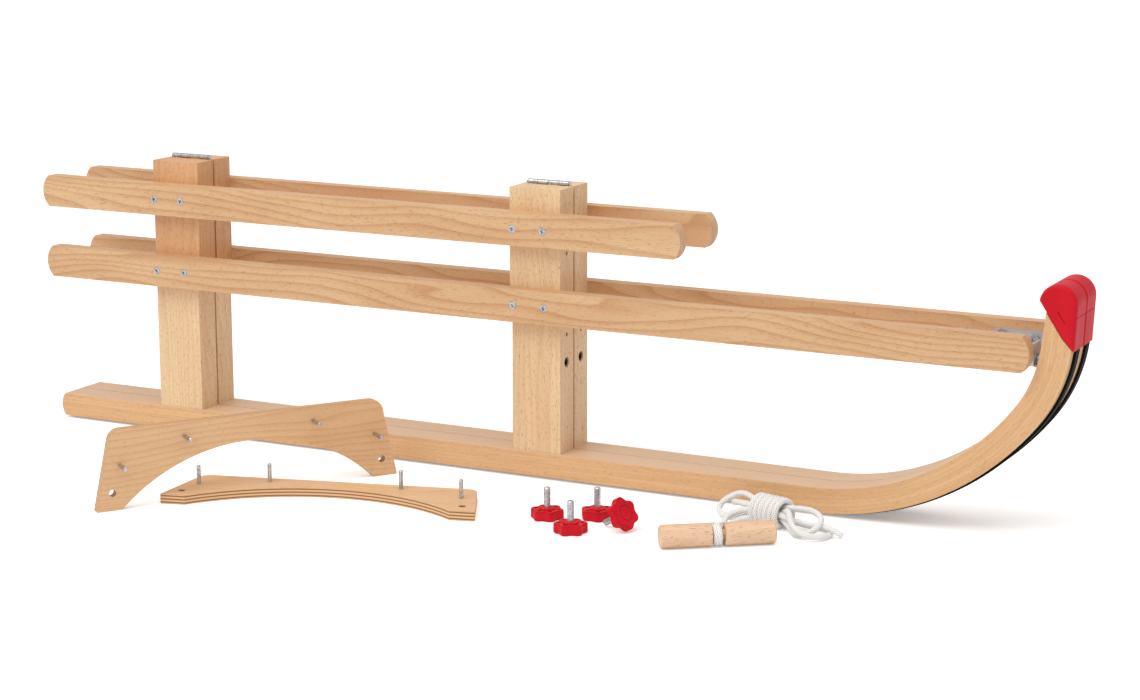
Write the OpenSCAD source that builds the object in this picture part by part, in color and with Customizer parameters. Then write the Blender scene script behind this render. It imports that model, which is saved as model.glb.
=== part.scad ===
// Folding wooden toboggan, stored folded and standing on its two runners.
// Each half has a bent runner, two legs, two half cross beams and two slats.
// The halves swing apart on butt hinges that join the tops of the beams.
// Two arched braces, four star knobs and the pull rope lie loose beside it.
// X runs forward to the horns, Y from the right half to the left half, Z up.
// The origin is on the floor, under the middle of the right runner's flat.

/* [Runners] */
// Width of each runner
runner_w = 29.5; // [24:0.5:40]
// Height of the runner's wood on its flat stretch
runner_h = 23.5; // [18:0.5:34]
// How much thicker the wood is at the tip of the horn
horn_growth = 3; // [0:0.5:6]
// Thickness of the running strip under the runner
sole_t = 2.5; // [1:0.5:4]
// Width of the running strip
sole_w = 10; // [6:0.5:24]
// Gap between the two folded runners
runner_gap = 1.2; // [0.6:0.2:6]
// Length of the runner's straight flat stretch
flat_l = 851; // [700:1:1000]
// Radius of the first, wide bend, at the top face
bend_r1 = 234; // [180:1:300]
// Angle at which the wide bend ends
bend_a1 = 53; // [40:1:60]
// Radius of the second, tight bend
bend_r2 = 116; // [80:1:150]
// Angle at which the tight bend ends
bend_a2 = 84; // [75:1:90]
// Straight length at the end of the horn
horn_end_l = 41; // [30:1:60]

/* [Trestles] */
// Height of the beam tops above the floor when folded
post_top = 282; // [250:1:340]
// Height of the leg pivots above the floor when folded
pivot_z = 162.5; // [140:0.5:200]
// Thickness of legs and cross beams
post_t = 27.5; // [22:0.5:36]
// Gap between the two folded halves
fold_gap = 2.6; // [2.4:0.1:5]
// Width of a cross beam
beam_w = 54; // [44:1:66]
// Width of a leg
leg_w = 51.5; // [40:0.5:62]
// Distance from the runner's rear end to the rear trestle
rear_post_x = 127; // [80:1:220]
// Distance from the runner's rear end to the front trestle
front_post_x = 538.5; // [400:1:640]
// Width of the tongue on top of each leg
tongue_w = 22; // [16:1:32]
// Radius of the pivot pins
pivot_pin_r = 4; // [3:0.5:6]
// Running clearance between pins and their turning holes, on the radius
run_clear = 0.05; // [0.02:0.01:0.1]
// Splay of each leg from upright when the sled is set up
splay = 16; // [8:1:20]

/* [Slats] */
// Height of every slat
slat_h = 32; // [24:1:44]
// Thickness of every slat
slat_t = 14.5; // [10:0.5:22]
// Height of the middle of the upper slats when folded
upper_slat_z = 244; // [220:1:290]
// Height of the middle of the lower slats when folded
lower_slat_z = 170.5; // [150:0.5:210]
// How far the upper slats reach behind the runner's rear end
upper_slat_back = 3; // [0:0.5:20]
// Length of the upper slats
upper_slat_l = 726; // [600:1:900]
// How far the lower slats reach behind the runner's rear end
lower_slat_back = 1; // [0:0.5:20]
// Length of the lower slats
lower_slat_l = 1055; // [900:1:1060]
// How far the slats' rounded ends bulge
slat_end_bulge = 7; // [3:0.5:12]

/* [Fasteners] */
// Radius of a wood screw's head
screw_head_r = 3.7; // [2.5:0.1:5]
// Radius of a wood screw's shank
screw_r = 1.9; // [1.5:0.1:2.5]
// Length of the slat screws
screw_l = 34; // [25:1:38]
// Radius of the knob studs, 6 mm thread
stud_r = 3; // [2.5:0.5:4]
// Outer radius of the threaded insert nuts
insert_r = 5; // [4:0.5:7]
// Length of the threaded insert nuts
insert_l = 13; // [8:1:18]
// How deep the insert nuts sit in their holes
insert_sink = 1.5; // [0:0.5:3]
// Length of a butt hinge
hinge_l = 44; // [30:1:50]
// Thickness of a hinge leaf
leaf_t = 1.1; // [0.8:0.1:1.1]
// Radius of a hinge knuckle
knuckle_r = 2.3; // [2:0.1:3]

/* [Horn caps] */
// Radius of the cap's rounded top
cap_r = 17.2; // [16:0.2:24]
// Height of the cap below the middle of its rounded top
cap_drop = 41; // [36:0.5:50]
// How far a cap stands proud of the runner's outer face
cap_proud = 1.5; // [0.5:0.5:4]
// Thickness of the cap's wall on the inner side
cap_inner_wall = 2; // [1.5:0.5:3]

/* [Braces] */
// Width of a brace across its feet
brace_w = 301; // [280:1:340]
// Width of a brace along its straight top
brace_top_w = 269; // [240:1:320]
// Height of a brace
brace_h = 76; // [70:1:100]
// Thickness of a brace
brace_t = 9; // [6:0.5:14]
// Width of the arched opening at the feet
arch_w = 253; // [220:1:262]
// Height of the arched opening
arch_h = 51; // [30:1:56]
// Radius of the brace's top corners
brace_corner_r = 12; // [4:1:20]
// Radius of the locating pins
peg_r = 2; // [1.5:0.5:4]
// How far the locating pins stand out
peg_l = 18; // [12:1:24]
// Radius of the knob holes in the braces
brace_hole_r = 3.5; // [3.2:0.1:5]

/* [Star knobs] */
// Radius over the tips of a knob's lobes
knob_r = 15.5; // [12:0.5:20]
// Height of a knob
knob_h = 9; // [6:0.5:14]
// How far a stud stands out of its knob
stud_l = 19; // [14:1:30]

/* [Pull rope] */
// Length of the wooden handle
handle_l = 103; // [80:1:140]
// Radius of the wooden handle
handle_r = 10.5; // [8:0.5:16]
// Radius of the rope
rope_r = 2.8; // [2:0.1:4]
// Height of the tied hank
hank_h = 29; // [16:1:40]

/* [Hidden] */
$fn = 48;

// colours
beech = [0.87, 0.72, 0.52];
ply = [0.84, 0.68, 0.46];
zinc = [0.72, 0.74, 0.76];
red = [0.86, 0.12, 0.18];
black = [0.04, 0.04, 0.045];
white = [0.93, 0.93, 0.91];

// the two sides: -1 is the right half, +1 the left half
RIGHT = -1;
LEFT = 1;

// distances from the plane between the two folded halves
runner_in = runner_gap / 2;
runner_out = runner_in + runner_w;
runner_mid = runner_in + runner_w / 2;
post_in = fold_gap / 2;
post_out = post_in + post_t;
post_mid = post_in + post_t / 2;
slat_out = post_out + slat_t;

// the row's origin, measured from the runner's rear end and the middle plane
origin_x = flat_l / 2;
origin_y = -runner_mid;

// heights
runner_top = sole_t + runner_h;
fold_z = post_top + knuckle_r;
joint_r = post_t / 2;
joint_clear = 0.3;
shoulder_r = joint_r + joint_clear;
brace_inner_v = fold_z - 220;
beam_peg_z = post_top - 62;
leg_peg_z = pivot_z - 21;
insert_z = pivot_z - 48;
peg_hole_r = peg_r + 0.2;
peg_hole_l = peg_l + 2;
tenon_t = 12;
tenon_l = 14;
tenon_edge = 8;
sink_gap = 0.35;
recess_w = 1.1;
screw_recess = 2;
fine = 0.01;

// the top face of the runner, as angles along its two bends
bend_steps = 40;
bend_angles = [for (i = [1:bend_steps]) bend_a2 * i / bend_steps];
function bend_point(a) = a <= bend_a1
    ? [flat_l + bend_r1 * sin(a), runner_top + bend_r1 * (1 - cos(a))]
    : bend_point(bend_a1) + bend_r2 * [sin(a) - sin(bend_a1), cos(bend_a1) - cos(a)];
function bend_out(a) = [sin(a), -cos(a)];
function wood_t(a) = runner_h + horn_growth * a / bend_a2;
horn_end = bend_point(bend_a2) + horn_end_l * [cos(bend_a2), sin(bend_a2)];
horn_t = wood_t(bend_a2);

// the cap: its round top's centre, its lower corner and its slanting lower edge
cap_centre = [horn_end[0] + 9.3, horn_end[1] - 2.3];
cap_corner = cap_centre + [cap_r - 2.6, 0.8 - cap_drop];
cap_slant = 33.7;
cap_slant_d = 13.2;
cap_wall = 2;
cap_line_z = cap_centre[1] - 11.3;

// slat crossings: where each slat's two screws stand on a beam
upper_screw_x = [10, 42];
lower_screw_x = [10.5, 43.5];

// nose fittings
bracket_l = 58;
bracket_h = 20;
bracket_t = 2.5;
tab_r = 7.5;
nose_bolt_r = 3;

// brace geometry, as the set-up trestle gives it
brace_peg_in = fold_z - beam_peg_z;
brace_peg_out = fold_z - pivot_z + (pivot_z - leg_peg_z) * sin(splay);
brace_hole_x = fold_z - pivot_z + (pivot_z - insert_z) * sin(splay);
brace_peg_in_h = brace_h - joint_r + 0.4;
brace_peg_out_h = brace_peg_in_h - (pivot_z - leg_peg_z) * cos(splay);
brace_hole_h = brace_peg_in_h - (pivot_z - insert_z) * cos(splay);

// where the loose parts stand: x, y and turn about Z
front_brace_at = [351, -198, 55];
rear_brace_at = [442, -229, 15];
knob_at = [[641, -150, 12], [681, -182, 30], [682, -130, 0]];
fallen_knob_at = [700, -151, -16];
handle_at = [815, -162, 36];

// the fallen knob leans on a lobe and on the tip of its stud
hub_h = 1.2;
fallen_tilt = atan((knob_r * 0.97 - stud_r) / (stud_l + hub_h)) - 1.5;
rope_pitch = 2 * rope_r + 0.2;
groove_r = handle_r - 2 * rope_r - 0.1;
winding_r = groove_r + rope_r;

// rope route from the handle to the hank, both strands
lead_left = [[812, -163, 17.8], [808, -156, 17.2], [804, -149, 14], [801, -141, 9],
    [799, -132, 5], [799, -121, 3], [801, -110, 3], [805, -100, 4], [811, -91, 7], [819, -83, 10]];
lead_right = [[817, -160, 17.8], [813, -153, 17.2], [810, -146, 13.5], [808, -138, 8.5],
    [806, -129, 4.8], [806, -118, 3], [808, -108, 3], [812, -99, 4], [818, -91, 7], [825, -85, 10]];

// the hank's outline: x, y and radius of its round lobes
hank_lobes = [[789, -66, 16], [834, -84, 15], [872, -98, 25]];

// ---- shared shapes ----

// everything is drawn from the runner's rear end and moved to the origin last
module in_row() {
    translate([-origin_x, -origin_y, 0])
        children();
}

// a box between two distances from the middle plane, on the chosen side
module side_box(side, x0, x1, d0, d1, z0, z1) {
    translate([x0, side > 0 ? d0 : -d1, z0])
        cube([x1 - x0, d1 - d0, z1 - z0]);
}

// a profile in the X-Z plane, extruded between two distances from the middle plane
module side_extrude(side, d0, d1) {
    translate([0, side > 0 ? d1 : -d0, 0])
        rotate([90, 0, 0])
            linear_extrude(d1 - d0)
                children();
}

// a cylinder along X
module x_cylinder(x0, x1, y, z, r) {
    translate([x0, y, z])
        rotate([0, 90, 0])
            cylinder(r = r, h = x1 - x0);
}

// a cylinder that runs inward from distance d0 to d1 (d0 is the outer end)
module y_cylinder(side, x, z, d0, d1, r) {
    translate([x, side * d0, z])
        rotate([side * 90, 0, 0])
            cylinder(r = r, h = d0 - d1);
}

// a countersunk wood screw: its head faces outward at distance d0
module wood_screw(side, x, z, d0, l) {
    head_h = screw_head_r - screw_r;
    translate([x, side * d0, z])
        rotate([side * 90, 0, 0])
            difference() {
                union() {
                    cylinder(r1 = screw_head_r, r2 = screw_r, h = head_h);
                    cylinder(r = screw_r, h = l - 4);
                    translate([0, 0, l - 4])
                        cylinder(r1 = screw_r, r2 = 0.4, h = 4);
                }
                cross_recess(screw_head_r * 1.15, screw_recess);
            }
}

// the cross recess of a screw head, cut from the XY plane upwards
module cross_recess(l, depth) {
    for (turn = [0, 90])
        rotate([0, 0, turn + 20])
            translate([-l / 2, -recess_w / 2, -1])
                cube([l, recess_w, depth + 1]);
}

// the room that a wood screw takes up in the pieces it holds
module screw_room(side, x, z, d0, l) {
    sink_r = screw_head_r + sink_gap;
    translate([x, side * (d0 + fine), z])
        rotate([side * 90, 0, 0]) {
            cylinder(r1 = sink_r + fine, r2 = screw_r, h = sink_r - screw_r + fine);
            cylinder(r = screw_r, h = l + fine);
        }
}

// ---- runners ----

// the runner's side view; extra grows it outward past the sole side
module runner_profile(from_t, to_t) {
    top = [for (a = bend_angles) bend_point(a) + bend_out(a) * scale_t(from_t, a)];
    low = [for (i = [bend_steps - 1:-1:0])
        bend_point(bend_angles[i]) + bend_out(bend_angles[i]) * scale_t(to_t, bend_angles[i])];
    end_dir = bend_out(bend_a2);
    polygon(concat(
        [[0, runner_top - scale_t(from_t, 0)], [flat_l, runner_top - scale_t(from_t, 0)]],
        top,
        [horn_end + end_dir * scale_t(from_t, bend_a2)],
        [horn_end + end_dir * scale_t(to_t, bend_a2)],
        low,
        [[flat_l, runner_top - scale_t(to_t, 0)], [0, runner_top - scale_t(to_t, 0)]]));
}

// a level in the section: 0 is the top face, 1 the wood's lower face, 2 the sole's
function scale_t(level, a) = level <= 1
    ? level * wood_t(a)
    : wood_t(a) + (level - 1) * sole_t;

// the slightly rounded rear end of the runner
module rear_round(extra) {
    end_r = 20;
    translate([end_r, sole_t + runner_h / 2])
        circle(r = end_r + extra, $fn = 96);
    translate([end_r, -50])
        square([2000, 400]);
}

module runner(side) {
    color(beech)
        difference() {
            side_extrude(side, runner_in, runner_out)
                intersection() {
                    runner_profile(0, 1);
                    rear_round(0);
                }
            // the horn's end is thinned so that the cap's walls sit on it
            side_extrude(side, runner_in - 1, runner_in + cap_inner_wall)
                cap_outline(0);
            side_extrude(side, runner_out - cap_proud, runner_out + 1)
                cap_outline(0);
            side_extrude(side, runner_in - 1, runner_out + 1)
                front_wall_room();
            for (i = [0, 1])
                tenon(side, trestle_x[i], trestle_dir[i]);
            nose_bolt_room(side);
        }
}

module sole(side) {
    side_start = 9;
    color(black)
        side_extrude(side, runner_mid - sole_w / 2, runner_mid + sole_w / 2)
            difference() {
                intersection() {
                    runner_profile(1, 2);
                    translate([side_start, -10])
                        square([2000, 400]);
                }
                translate([cap_corner[0] - 60, cap_corner[1] - 0.8])
                    square([120, 100]);
            }
}

// ---- horn caps ----

// the cap's side view: a round top, an upright front and a slanting lower edge
module cap_outline(inset) {
    offset(delta = -inset)
        intersection() {
            hull() {
                translate(cap_centre)
                    circle(r = cap_r, $fn = 72);
                translate(cap_corner)
                    circle(r = 0.8, $fn = 16);
            }
            translate(cap_centre)
                rotate(cap_slant)
                    translate([-cap_slant_d, -100])
                        square([200, 200]);
        }
}

// the cap's front wall, and all that lies in front of it
module front_wall_room() {
    low = cap_corner + [0.8 - cap_wall, -0.8];
    polygon([cap_centre + [cap_r - cap_wall, 0], low, low + [60, 0], cap_centre + [60, 0]]);
    translate(cap_centre)
        difference() {
            square([60, 60]);
            circle(r = cap_r - cap_wall, $fn = 72);
        }
}

// a cap slice: its outline inset by the second number, at the first number's depth
outer_round = [[4, 0], [2.4, 0.3], [1.2, 0.9], [0.4, 1.8], [0, 2.8]];
inner_round = [[2, 0], [0.8, 0.4], [0, 1.3]];

module tip_cap(side) {
    face = runner_out + cap_proud;
    color(red)
        difference() {
            union() {
                side_extrude(side, runner_in + inner_round[0][0], face - outer_round[0][0])
                    cap_outline(0);
                hull()
                    for (slice = outer_round)
                        side_extrude(side, face - slice[0] - fine, face - slice[0])
                            cap_outline(slice[1]);
                hull()
                    for (slice = inner_round)
                        side_extrude(side, runner_in + slice[0], runner_in + slice[0] + fine)
                            cap_outline(slice[1]);
            }
            // pocket for the horn
            side_extrude(side, runner_in + cap_inner_wall, runner_out - cap_proud)
                difference() {
                    runner_profile(0, 1);
                    front_wall_room();
                }
            // parting line round the front wall
            side_extrude(side, runner_in - 1, face + 1)
                difference() {
                    translate([cap_centre[0], cap_line_z])
                        square([60, 0.7]);
                    cap_outline(0.5);
                }
            // the small slot mark
            translate([cap_centre[0] + 3.7, side * face, cap_line_z])
                rotate([0, 90 - cap_slant, 0])
                    cube([12, 2, 0.9], center = true);
        }
}

// ---- legs ----

// the two trestles, rear and front, and the way their outer faces look
trestle_x = [rear_post_x, front_post_x];
trestle_dir = [-1, 1];

// legs are flush with the beams on that face and a little narrower on the other
function leg_x0(x, dir) = dir > 0 ? x + beam_w - leg_w : x;
function tongue_x0(x) = x + (beam_w - tongue_w) / 2;

// face_x is the face that carries the peg hole and the insert nut
module leg(side, x, face_x, dir) {
    y = side * post_mid;
    color(beech)
        difference() {
            union() {
                difference() {
                    side_box(side, leg_x0(x, dir), leg_x0(x, dir) + leg_w, post_in, post_out,
                        runner_top, pivot_z - 6);
                    // shoulders: hollow on the outer half, straight on the inner half
                    x_cylinder(x - 1, x + beam_w + 1, y, pivot_z, shoulder_r);
                    side_box(side, x - 1, x + beam_w + 1, post_in - 1, post_mid,
                        pivot_z - shoulder_r, pivot_z);
                }
                // tongue with a round end
                side_box(side, tongue_x0(x) + joint_clear, tongue_x0(x) + tongue_w - joint_clear,
                    post_in, post_out, pivot_z - shoulder_r - 1, pivot_z);
                x_cylinder(tongue_x0(x) + joint_clear, tongue_x0(x) + tongue_w - joint_clear,
                    y, pivot_z, joint_r);
                tenon(side, x, dir);
            }
            x_cylinder(x - 1, x + beam_w + 1, y, pivot_z, pivot_pin_r + run_clear);
            face_bore(face_x, dir, y, leg_peg_z, peg_hole_r, peg_hole_l);
            face_bore(face_x, dir, y, insert_z, insert_r, insert_sink + insert_l);
            face_bore(face_x, dir, y, insert_z, stud_r + 0.2, insert_l + 9);
        }
}

// a blind hole into a face that looks along dir
module face_bore(face_x, dir, y, z, r, depth) {
    x0 = dir > 0 ? face_x - depth : face_x - 1;
    x_cylinder(x0, x0 + depth + 1, y, z, r);
}

// the tenon at the foot of each leg, glued into a blind mortise in the runner
module tenon(side, x, dir) {
    side_box(side, leg_x0(x, dir) + tenon_edge, leg_x0(x, dir) + leg_w - tenon_edge,
        post_mid - tenon_t / 2, post_mid + tenon_t / 2, runner_top - tenon_l, runner_top);
}

module insert_nuts(side) {
    y = side * post_mid;
    socket_r = 3.5;
    socket_l = 3;
    color(zinc)
        for (spot = [[front_face_x - insert_sink - insert_l, 1], [rear_post_x + insert_sink, -1]]) {
            open_x = spot[1] > 0 ? spot[0] + insert_l - socket_l : spot[0] - 1;
            difference() {
                x_cylinder(spot[0], spot[0] + insert_l, y, insert_z, insert_r);
                x_cylinder(spot[0] - 1, spot[0] + insert_l + 1, y, insert_z, stud_r - 0.5);
                // six sided socket for the driving key
                translate([open_x, y, insert_z])
                    rotate([0, 90, 0])
                        cylinder(r = socket_r, h = socket_l + 1, $fn = 6);
            }
        }
}

// ---- cross beams ----

module beam(side, x, face_x, dir) {
    y = side * post_mid;
    color(beech)
        difference() {
            union() {
                side_box(side, x, x + beam_w, post_in, post_out, pivot_z, post_top);
                x_cylinder(x, x + beam_w, y, pivot_z, joint_r);
            }
            // slot for the leg's tongue
            side_box(side, tongue_x0(x), tongue_x0(x) + tongue_w, post_in - 1, post_out + 1,
                pivot_z - joint_r - 1, pivot_z + joint_r + joint_clear);
            x_cylinder(x - 1, x + beam_w + 1, y, pivot_z, pivot_pin_r);
            face_bore(face_x, dir, y, beam_peg_z, peg_hole_r, peg_hole_l);
            slat_screw_room(side);
            hinge_screw_room(side);
            // eased top edge on the outer side
            translate([x - 1, side * post_out, post_top])
                rotate([45, 0, 0])
                    cube([beam_w + 2, 2, 2], center = false);
        }
}

module pivot_pins(side) {
    color(zinc)
        for (x = [rear_post_x, front_post_x])
            x_cylinder(x + 0.5, x + beam_w - 0.5, side * post_mid, pivot_z, pivot_pin_r);
}

// ---- slats ----

// a board's outline with shallow round ends
module slat_outline(back, l, mid_z) {
    end_r = (pow(slat_h / 2, 2) + pow(slat_end_bulge, 2)) / (2 * slat_end_bulge);
    intersection() {
        translate([-back, mid_z - slat_h / 2])
            square([l, slat_h]);
        translate([-back + end_r, mid_z])
            circle(r = end_r, $fn = 120);
    }
    intersection() {
        translate([-back, mid_z - slat_h / 2])
            square([l, slat_h]);
        translate([l - back - end_r, mid_z])
            circle(r = end_r, $fn = 120);
    }
    translate([-back + end_r, mid_z - slat_h / 2])
        square([l - 2 * end_r, slat_h]);
}

module slat(side, back, l, mid_z) {
    color(beech)
        difference() {
            side_extrude(side, post_out, slat_out)
                slat_outline(back, l, mid_z);
            slat_screw_room(side);
            bracket_screw_room(side);
        }
}

// where the slat screws stand: x and z
function slat_screw_places() = [for (x = [rear_post_x, front_post_x]) each concat(
    [for (dx = upper_screw_x) [x + dx, upper_slat_z]],
    [for (dx = lower_screw_x) [x + dx, lower_slat_z]])];

module slat_screws(side) {
    color(zinc)
        for (p = slat_screw_places())
            wood_screw(side, p[0], p[1], slat_out, screw_l);
}

module slat_screw_room(side) {
    for (p = slat_screw_places())
        screw_room(side, p[0], p[1], slat_out, screw_l);
}

// ---- nose fittings: the lower slat's front end turns on the horn ----

bracket_in = post_out - bracket_t;
bracket_x1 = lower_slat_l - lower_slat_back;
bracket_x0 = bracket_x1 - bracket_l;
bracket_mid_z = lower_slat_z - 2;
bracket_screw_x = bracket_x0 + 12;
bracket_screw_z = lower_slat_z + 3;
bracket_bolt_x = bracket_x1 - 16;

// a plate on the slat's inner face, its front end bent in behind the horn
module nose_bracket(side) {
    color(zinc)
        difference() {
            union() {
                side_extrude(side, bracket_in, post_out) {
                    translate([bracket_x0 + bracket_h / 2, bracket_mid_z])
                        circle(r = bracket_h / 2);
                    translate([bracket_x0 + bracket_h / 2, bracket_mid_z - bracket_h / 2])
                        square([bracket_l - bracket_h / 2, bracket_h]);
                }
                side_box(side, bracket_x1 - bracket_t, bracket_x1, post_mid - tab_r, bracket_in,
                    pivot_z, bracket_mid_z + bracket_h / 2);
                side_box(side, bracket_x1 - bracket_t, bracket_x1, post_mid, bracket_in,
                    bracket_mid_z - bracket_h / 2, pivot_z);
                x_cylinder(bracket_x1 - bracket_t, bracket_x1, side * post_mid, pivot_z, tab_r);
            }
            bracket_screw_room(side);
            x_cylinder(bracket_x1 - bracket_t - 1, bracket_x1 + 1, side * post_mid, pivot_z,
                nose_bolt_r + run_clear);
        }
}

// the bracket's pan head wood screw and its socket headed bolt
module bracket_screws(side) {
    color(zinc) {
        pan_screw(side);
        difference() {
            union() {
                y_cylinder(side, bracket_bolt_x, lower_slat_z, slat_out - 3, bracket_in, nose_bolt_r);
                y_cylinder(side, bracket_bolt_x, lower_slat_z, bracket_in, bracket_in - 3, 4.8);
            }
            y_cylinder(side, bracket_bolt_x, lower_slat_z, bracket_in - 1.2, bracket_in - 6, 2);
        }
    }
}

// a pan head screw driven outward into the slat
module pan_screw(side) {
    head_d = bracket_in - 2;
    y_cylinder(side, bracket_screw_x, bracket_screw_z, bracket_in + 12, bracket_in, screw_r);
    difference() {
        y_cylinder(side, bracket_screw_x, bracket_screw_z, bracket_in, head_d, screw_head_r + 0.6);
        translate([bracket_screw_x, side * head_d, bracket_screw_z])
            rotate([-side * 90, 0, 0])
                cross_recess(screw_head_r * 1.1, 1);
    }
}

module bracket_screw_room(side) {
    y_cylinder(side, bracket_screw_x, bracket_screw_z, bracket_in + 12, bracket_in - 1, screw_r);
    y_cylinder(side, bracket_bolt_x, lower_slat_z, slat_out - 3, bracket_in - 1, nose_bolt_r);
}

// the pivot bolt: head behind the bracket's tab, spacer, then into the horn
nose_bolt_end = bracket_x1 + 24;
spacer_x = bracket_x1 + 0.3;
spacer_l = 4.5;
spacer_r = 5;

module nose_bolt(side) {
    y = side * post_mid;
    head_x1 = bracket_x1 - bracket_t - 0.3;
    color(zinc) {
        difference() {
            x_cylinder(head_x1 - 3.5, head_x1, y, pivot_z, 5);
            x_cylinder(head_x1 - 4.5, head_x1 - 1.6, y, pivot_z, 2);
        }
        x_cylinder(head_x1 - 0.5, nose_bolt_end, y, pivot_z, nose_bolt_r);
        x_cylinder(spacer_x, spacer_x + spacer_l, y, pivot_z, spacer_r);
    }
}

module nose_bolt_room(side) {
    y = side * post_mid;
    x_cylinder(bracket_x1, nose_bolt_end, y, pivot_z, nose_bolt_r);
    x_cylinder(bracket_x1, spacer_x + spacer_l, y, pivot_z, spacer_r);
}

// ---- butt hinges on top of the beams ----

hinge_leaf_h = 26;
knuckles = 4;
knuckle_pitch = hinge_l / knuckles;
knuckle_gap = 0.5;
hinge_pin_r = 1.2;
leaf_in = post_in - leaf_t;

function hinge_x0(x) = x + (beam_w - hinge_l) / 2;

module hinge_leaf(side, x) {
    x0 = hinge_x0(x);
    own = side > 0 ? [1, 3] : [0, 2];
    low_z = post_top - hinge_leaf_h;
    color(zinc)
        difference() {
            union() {
                side_box(side, x0, x0 + hinge_l, leaf_in, post_in, low_z, post_top - 0.6);
                for (k = own) {
                    kx = x0 + k * knuckle_pitch + knuckle_gap / 2;
                    side_box(side, kx, kx + knuckle_pitch - knuckle_gap, leaf_in, post_in,
                        post_top - 1, fold_z);
                    x_cylinder(kx, kx + knuckle_pitch - knuckle_gap, 0, fold_z, knuckle_r);
                }
            }
            x_cylinder(x0 - 1, x0 + hinge_l + 1, 0, fold_z, hinge_pin_r + run_clear);
            hinge_screw_room(side);
        }
}

module hinge_pin(x) {
    x0 = hinge_x0(x);
    color(zinc) {
        x_cylinder(x0 - 0.2, x0 + hinge_l + 0.2, 0, fold_z, hinge_pin_r);
        x_cylinder(x0 - 0.8, x0 - 0.2, 0, fold_z, knuckle_r - 0.5);
        x_cylinder(x0 + hinge_l + 0.2, x0 + hinge_l + 0.8, 0, fold_z, knuckle_r - 0.5);
    }
}

// flat headed screws, sunk in the leaves, so that the halves can close
function hinge_screw_places() = [for (x = [rear_post_x, front_post_x])
    for (dx = [hinge_l * 0.22, hinge_l * 0.78]) hinge_x0(x) + dx];
hinge_screw_z = post_top - 14;
hinge_screw_r = 1.4;
hinge_head_r = 2.5;

module hinge_screws(side) {
    color(zinc)
        for (x = hinge_screw_places())
            translate([x, side * leaf_in, hinge_screw_z])
                rotate([-side * 90, 0, 0]) {
                    cylinder(r1 = hinge_head_r, r2 = hinge_screw_r, h = leaf_t);
                    cylinder(r = hinge_screw_r, h = 14);
                }
}

module hinge_screw_room(side) {
    for (x = hinge_screw_places())
        translate([x, side * (leaf_in - fine), hinge_screw_z])
            rotate([-side * 90, 0, 0]) {
                cylinder(r1 = hinge_head_r + fine, r2 = hinge_screw_r, h = leaf_t + fine);
                cylinder(r = hinge_screw_r, h = 14 + fine);
            }
}

// ---- braces ----

// the brace's outline: feet at y = 0, straight top at y = brace_h
module brace_outline() {
    arch_r = (pow(arch_w / 2, 2) + pow(arch_h, 2)) / (2 * arch_h);
    slope = (brace_w - brace_top_w) / 2 / brace_h;
    corner_x = brace_top_w / 2 - brace_corner_r * (1 - slope);
    difference() {
        hull() {
            for (s = [-1, 1]) {
                translate([s * (brace_w / 2 - 1), 1])
                    circle(r = 1, $fn = 24);
                translate([s * corner_x, brace_h - brace_corner_r])
                    circle(r = brace_corner_r, $fn = 64);
            }
        }
        translate([0, arch_h - arch_r])
            circle(r = arch_r, $fn = 180);
    }
}

brace_pegs_at = [[-brace_peg_out, brace_peg_out_h], [-brace_peg_in, brace_peg_in_h],
    [brace_peg_in, brace_peg_in_h], [brace_peg_out, brace_peg_out_h]];
brace_holes_at = [[-brace_hole_x, brace_hole_h], [brace_hole_x, brace_hole_h]];

// a brace lying flat, its pegs pointing up
module brace_board() {
    color(ply)
        difference() {
            linear_extrude(brace_t)
                brace_outline();
            for (p = brace_pegs_at)
                translate([p[0], p[1], -1])
                    cylinder(r = peg_r, h = brace_t + 2);
            for (p = brace_holes_at)
                translate([p[0], p[1], -1])
                    cylinder(r = brace_hole_r, h = brace_t + 2);
        }
}

module brace_pegs() {
    color(zinc)
        for (p = brace_pegs_at)
            translate([p[0], p[1], 0.5]) {
                cylinder(r = peg_r, h = brace_t - 0.5 + peg_l - 0.5);
                translate([0, 0, brace_t - 1 + peg_l])
                    cylinder(r1 = peg_r, r2 = peg_r - 0.5, h = 0.5);
            }
}

// the front brace stands on its feet, its pegs pointing away from the sled
module place_front_brace() {
    translate([front_brace_at[0], front_brace_at[1], 0])
        rotate([0, 0, front_brace_at[2]])
            translate([0, brace_t, 0])
                rotate([90, 0, 0])
                    children();
}

// the rear brace lies flat
module place_rear_brace() {
    translate([rear_brace_at[0], rear_brace_at[1], 0])
        rotate([0, 0, rear_brace_at[2]])
            children();
}

// ---- star knobs ----

lobes = 6;
knob_wave = 1.4;
function lobe_r(a) = knob_r - knob_wave + knob_wave * cos(lobes * a);

module knob_outline(inset) {
    points = 96;
    polygon([for (i = [0:points - 1])
        let (a = 360 * i / points)
            (lobe_r(a) - inset) * [cos(a), sin(a)]]);
}

// a knob standing on its face, its stud pointing up
module knob_body() {
    edge = 1;
    color(red)
        difference() {
            union() {
                linear_extrude(edge)
                    knob_outline(edge * 0.8);
                translate([0, 0, edge])
                    linear_extrude(knob_h - 2 * edge)
                        knob_outline(0);
                translate([0, 0, knob_h - edge])
                    linear_extrude(edge)
                        knob_outline(edge * 0.6);
                cylinder(r = 7.5, h = knob_h + hub_h);
            }
            // pockets behind the lobes
            for (i = [0:lobes - 1])
                rotate([0, 0, 360 / lobes * i])
                    translate([10.6, 0, knob_h - 5])
                        cylinder(r = 1.9, h = 6);
            // stud seat
            translate([0, 0, 2])
                cylinder(r = stud_r, h = knob_h + hub_h);
            // ring and dimple on the face
            translate([0, 0, -1])
                difference() {
                    cylinder(r = 7.4, h = 1.6);
                    translate([0, 0, -1])
                        cylinder(r = 6.8, h = 4);
                }
            translate([0, 0, -1])
                cylinder(r = 0.8, h = 1.4);
        }
}

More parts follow.
